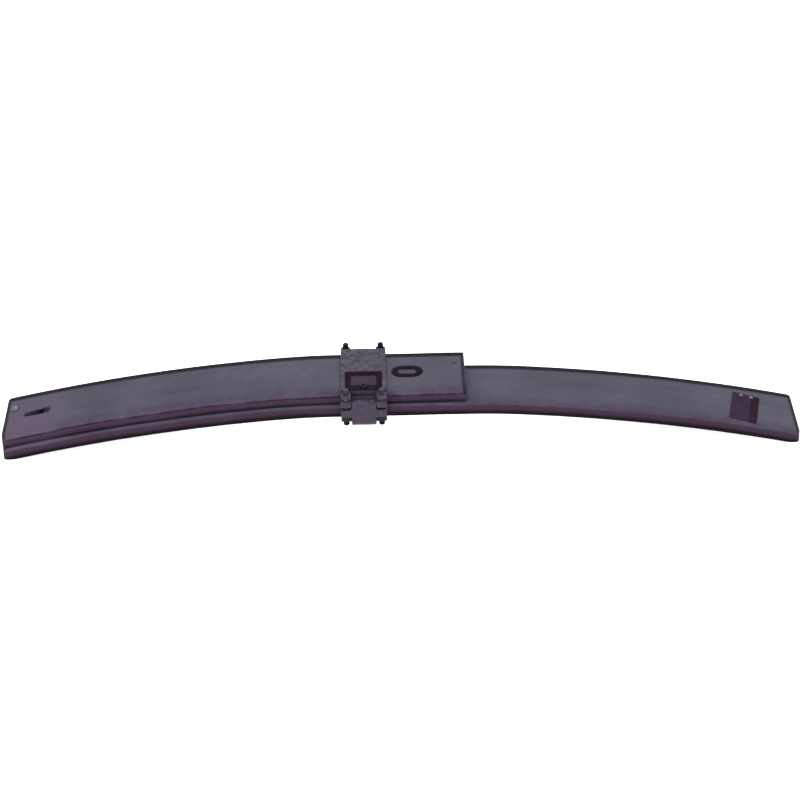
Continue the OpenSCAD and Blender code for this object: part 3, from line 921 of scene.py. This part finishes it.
def make_key():
    """The steel key that the bush holds."""
    low, top = (corner.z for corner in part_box("slot_key"))
    side = KEY_W / 2 - 0.05 * MM
    round_r = 1.0 * MM
    profile = [(0.0, low), (side - 0.5 * MM, low), (side, low + 0.5 * MM), (side, top - round_r)]
    profile += [(side - out, top - depth) for depth, out in reversed(fillet(round_r))]
    profile += [(side * 0.6, top - 0.02 * MM), (side * 0.3, top), (0.0, top)]
    key = revolve("slot_key_shape", lambda angle: profile, 48, (KEY_L - KEY_W) / 2)
    move(key, (WIDE_SLOT_X, 0, 0))
    on_clamp(key, "slot_key", "spring_paint")


# ---- Clamp ----
STUD_D = 8 * MM
THREAD_PITCH = 1.25 * MM
THREAD_L = 22 * MM
NUT_AF = 13 * MM
WASHER_R = 6.5 * MM
PAINTED_NUTS = ("top_nut_1", "top_nut_2")


def hexagon(half_flat, angle):
    """How far a hexagon's side lies from its middle, at an angle."""
    return half_flat / math.cos((angle + math.pi / 6) % (math.pi / 3) - math.pi / 6)


def make_casting(node, seed):
    """A sand casting from the CAD shape: its edges and corners rounded, its skin grainy."""
    piece = add_object(f"{node}_shape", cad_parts[node].data.copy())
    work = bmesh.new()
    work.from_mesh(piece.data)
    bmesh.ops.remove_doubles(work, verts=work.verts, dist=MERGE_DIST)
    work.to_mesh(piece.data)
    work.free()
    grow = piece.modifiers.new("skin", "REMESH")
    grow.mode = "VOXEL"
    grow.voxel_size = 0.8 * MM
    ease = piece.modifiers.new("ease", "SMOOTH")
    ease.factor = 0.5
    ease.iterations = 7
    apply_modifiers(piece)
    roughen(piece, ((90, 0.30 * MM), (330, 0.16 * MM), (900, 0.07 * MM)), seed)
    on_clamp(piece, node, "casting")


def make_cap_pad():
    """The rubber pad in the cap's pocket: a rim, a sunk floor, a raised panel, and ribs by the screw."""
    low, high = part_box("cap_pad")
    foot = foot_of("cap_pad")
    length, width, corner = high.x - low.x, high.y - low.y, 1.5 * MM
    screw_y = foot_of("cap_pad_screw").y - foot.y
    rim_z, floor_z, boss_z = 2.2 * MM, 1.2 * MM, 2.0 * MM
    rib_pitch = 6.5 * MM

    def panel_at(x, y):
        inside = edge_distance(x, y - 0.5 * MM, length - 14 * MM, 25 * MM, 2 * MM)
        return ramp(inside, 0.0, 0.9 * MM)

    def top_at(x, y):
        depth = edge_distance(x, y, length, width, corner)
        sunk = ramp(depth, 2.4 * MM, 3.2 * MM)
        ribbed = 1 - ramp(np.abs(y - screw_y), 2 * MM, 3 * MM)
        rib = ramp(np.cos(x * 2 * math.pi / rib_pitch), 0.2, 0.8) * ribbed
        top = rim_z - 1.6 * MM * (1 - ramp(depth, 0.0, 0.8 * MM)) - (rim_z - floor_z) * sunk
        top = top + 0.8 * MM * panel_at(x, y) + 0.6 * MM * rib * sunk
        boss = np.hypot(x, y - screw_y)
        return top + (boss_z - top) * (1 - ramp(boss, 5.2 * MM, 6.4 * MM))

    pad = sheet_metal("cap_pad_shape", length, width, corner, 0.0, top_at, cell=0.5 * MM)
    points = get_points(pad.data)
    store(pad.data, "band", panel_at(points[:, 0], points[:, 1]) * (points[:, 2] > 0.5 * MM))
    set_points(pad.data, points + foot)
    on_clamp(pad, "cap_pad", "pad_rubber")


def make_pad_screw():
    """A socket-head screw: chamfered round head with a hexagon socket."""
    low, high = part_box("cap_pad_screw")
    radius = (high.x - low.x) / 2
    head_h = 2.5 * MM
    shank_r, shank_l = 2.0 * MM, 4.2 * MM

    def profile_at(angle):
        socket = hexagon(2.2 * MM, angle)
        return [(0.0, -shank_l), (shank_r - 0.3 * MM, -shank_l), (shank_r, 0.3 * MM - shank_l),
                (shank_r, 0.0), (radius - 0.2 * MM, 0.0), (radius, 0.2 * MM), (radius, head_h - 0.7 * MM),
                (radius - 0.25 * MM, head_h - 0.2 * MM), (radius - 0.8 * MM, head_h),
                (socket + 0.25 * MM, head_h), (socket, head_h - 0.25 * MM), (socket, head_h - 1.6 * MM),
                (0.0, head_h - 1.9 * MM)]

    screw = revolve("cap_pad_screw_shape", profile_at, 60)
    foot = foot_of("cap_pad_screw")
    move(screw, (foot.x, foot.y, high.z - head_h))
    on_clamp(screw, "cap_pad_screw", "dark_steel")


def make_dowel():
    """The centre dowel: chamfered spigot, pressed-in collar and a long plain shank."""
    length = height_of("centre_dowel")
    spigot, shank, collar = 10 * MM, 8 * MM, 10.2 * MM
    collar_low, collar_high = 10 * MM, 14.85 * MM
    profile = [(0.0, 0.4 * MM), (2.2 * MM, 0.4 * MM), (2.8 * MM, 0.0), (spigot - 1.5 * MM, 0.0),
               (spigot - 1.2 * MM, 0.1 * MM), (spigot - 0.1 * MM, 1.3 * MM), (spigot, 1.6 * MM),
               (spigot, collar_low - 0.6 * MM), (spigot - 0.4 * MM, collar_low - 0.3 * MM),
               (collar - 0.2 * MM, collar_low), (collar, collar_low + 0.2 * MM),
               (collar, collar_high - 0.2 * MM), (collar - 0.2 * MM, collar_high),
               (shank + 0.3 * MM, collar_high), (shank, collar_high + 0.3 * MM),
               (shank, length - 1.0 * MM), (shank - 1.0 * MM, length), (0.0, length)]
    dowel = revolve("centre_dowel_shape", lambda angle: profile, 64)
    move(dowel, foot_of("centre_dowel"))
    on_clamp(dowel, "centre_dowel", "plated_steel")


def make_stud(node):
    """A stud with a real helical thread at both ends and a plain shank between them. The near studs' upper
    halves are painted, as their nuts are."""
    foot, length = foot_of(node), height_of(node)
    radius = STUD_D / 2
    depth = 0.61 * THREAD_PITCH
    groove_half = 0.42
    zs = [0.0]
    for start, stop in ((0.0, THREAD_L), (length - THREAD_L, length)):
        zs += list(np.arange(start, stop, THREAD_PITCH / 8))
        zs.append(stop)
    zs = without_doubles(zs)

    def profile_at(angle):
        points = [(0.0, 0.0)]
        for z in zs:
            end = min(z, length - z)
            phase = (z / THREAD_PITCH - angle / (2 * math.pi)) % 1.0
            groove = max(0.0, 1 - abs(phase - 0.5) / groove_half)
            fade = 1 - float(ramp(end, THREAD_L - 2.5 * MM, THREAD_L - 0.5 * MM))
            taper = max(0.0, 0.9 * MM - end)
            points.append((min(radius - depth * groove * fade, radius - taper), z))
        return points + [(0.0, length)]

    stud = revolve(f"{node}_shape", profile_at, 40)
    if foot.y < 0:
        store(stud.data, "painted", get_points(stud.data)[:, 2] > length / 2)
    move(stud, foot)
    on_clamp(stud, node, "dark_steel")


def make_nut(node):
    """A hexagon nut, chamfered on both faces, with a countersunk bore. It keeps the CAD nut's flats."""
    nut_h = height_of(node)
    bore, sink = STUD_D / 2, 0.6 * MM
    face_r = NUT_AF / 2 * 0.97
    chamfer_slope = 1.75

    def profile_at(angle):
        flat = hexagon(NUT_AF / 2, angle)
        outer = []
        for z in (0.0, 0.15, 0.35, 0.6, 0.9, 1.25, 2.2, 3.2):
            outer.append((min(flat, face_r + z * MM * chamfer_slope), z * MM))
        outer += [(r, nut_h - z) for r, z in reversed(outer)]
        return outer + [(bore + sink, nut_h), (bore, nut_h - sink), (bore, sink), (bore + sink, 0.0)]

    nut = revolve(f"{node}_shape", profile_at, 72, closed=True)
    move(nut, foot_of(node))
    on_clamp(nut, node, "casting" if node in PAINTED_NUTS else "dark_steel")


def make_spring_washer(node):
    """A split lock washer: one turn of bevelled bar, its two ends a little apart."""
    inner, outer, thick = STUD_D / 2 + 0.2 * MM, WASHER_R, height_of(node)
    bevel = 0.25 * MM
    gap = 0.13
    steps = 48
    ring = [(inner + bevel, 0), (outer - bevel, 0), (outer, bevel), (outer, thick - bevel),
            (outer - bevel, thick), (inner + bevel, thick), (inner, thick - bevel), (inner, bevel)]
    rings = []
    for k in range(steps + 1):
        angle = gap + (2 * math.pi - 2 * gap) * k / steps
        rings.append([(r * math.cos(angle), r * math.sin(angle), z) for r, z in ring])
    washer = loft(f"{node}_shape", rings)
    move(washer, foot_of(node))
    on_clamp(washer, node, "dark_steel")


def make_clamp():
    make_casting("clamp_cap", 11)
    make_casting("clamp_saddle", 23)
    make_cap_pad()
    make_pad_screw()
    make_dowel()
    for k in range(1, 5):
        make_stud(f"clamp_stud_{k}")
        make_nut(f"top_nut_{k}")
        make_nut(f"bottom_nut_{k}")
        make_spring_washer(f"spring_washer_{k}")


# ---- Scene ----
WHITE = (1.0, 1.0, 1.0, 1)


def make_camera():
    """A long lens in front of the spring and above it, rolled a little."""
    azimuth, elevation, roll = (math.radians(a) for a in (-0.61, 31.4, -0.95))
    distance = 3.569
    target = Vector((-0.0012, 0.0, 0.0515))
    back = Vector((math.sin(azimuth) * math.cos(elevation),
                   -math.cos(azimuth) * math.cos(elevation), math.sin(elevation)))
    right = Vector((math.cos(azimuth), math.sin(azimuth), 0.0))
    up = back.cross(right)
    turned_right = right * math.cos(roll) + up * math.sin(roll)
    turned_up = back.cross(turned_right)
    data = bpy.data.cameras.new("camera")
    data.sensor_width = 36.0
    data.lens = 117.05
    camera = add_object("camera", data)
    axes = Matrix((turned_right, turned_up, back)).transposed().to_4x4()
    camera.matrix_world = Matrix.Translation(target + back * distance) @ axes
    bpy.context.scene.camera = camera


def add_light(name, kind, energy, place, aim, **settings):
    data = bpy.data.lights.new(name, kind)
    data.energy = energy
    for key, value in settings.items():
        setattr(data, key, value)
    way = Vector(aim) - Vector(place)
    axes = way.to_track_quat("-Z", "Y").to_matrix().to_4x4()
    add_object(name, data).matrix_world = Matrix.Translation(place) @ axes


def make_studio():
    """A white floor, bright enough to show no shadow, under a broad soft overhead light and a pale world.
    The floor is so wide that its end shows only from low angles."""
    scene = bpy.context.scene
    scene.view_settings.view_transform = "Standard"
    world = bpy.data.worlds.new("studio")
    world.use_nodes = True
    background = world.node_tree.nodes["Background"]
    background.inputs["Color"].default_value = WHITE
    background.inputs["Strength"].default_value = 0.45
    scene.world = world
    add_light("overhead", "SUN", 2.6, (0.3, 0.9, 3), (0, 0, 0), angle=math.radians(70))
    add_light("front", "AREA", 18, (-1.4, -2.2, 1.6), (0, 0, 0.05), size=1.6)
    half = 20.0
    corners = [(-half, -half, 0), (half, -half, 0), (half, half, 0), (-half, half, 0)]
    floor = make_mesh("floor", corners, [(0, 1, 2, 3)])
    n = Nodes("floor")
    n.shader.inputs["Base Color"].default_value = (0.93, 0.93, 0.93, 1)
    n.shader.inputs["Roughness"].default_value = 0.9
    n.shader.inputs["Specular IOR Level"].default_value = 0.1
    n.shader.inputs["Emission Color"].default_value = WHITE
    n.shader.inputs["Emission Strength"].default_value = 0.88
    floor.data.materials.append(n.material)


MATERIALS = {
    "spring_paint": spring_paint(), "casting": casting_paint(), "pad_rubber": moulded_rubber(),
    "liner": liner_strip(), "plated_steel": plated_steel(), "dark_steel": black_oxide(),
    "plate_paint": plate_enamel(),
}

make_camera()
make_studio()
make_main_leaf()
make_upper_leaf()
make_liners()
make_rivets()
make_data_plate()
make_bush()
make_key()
make_clamp()
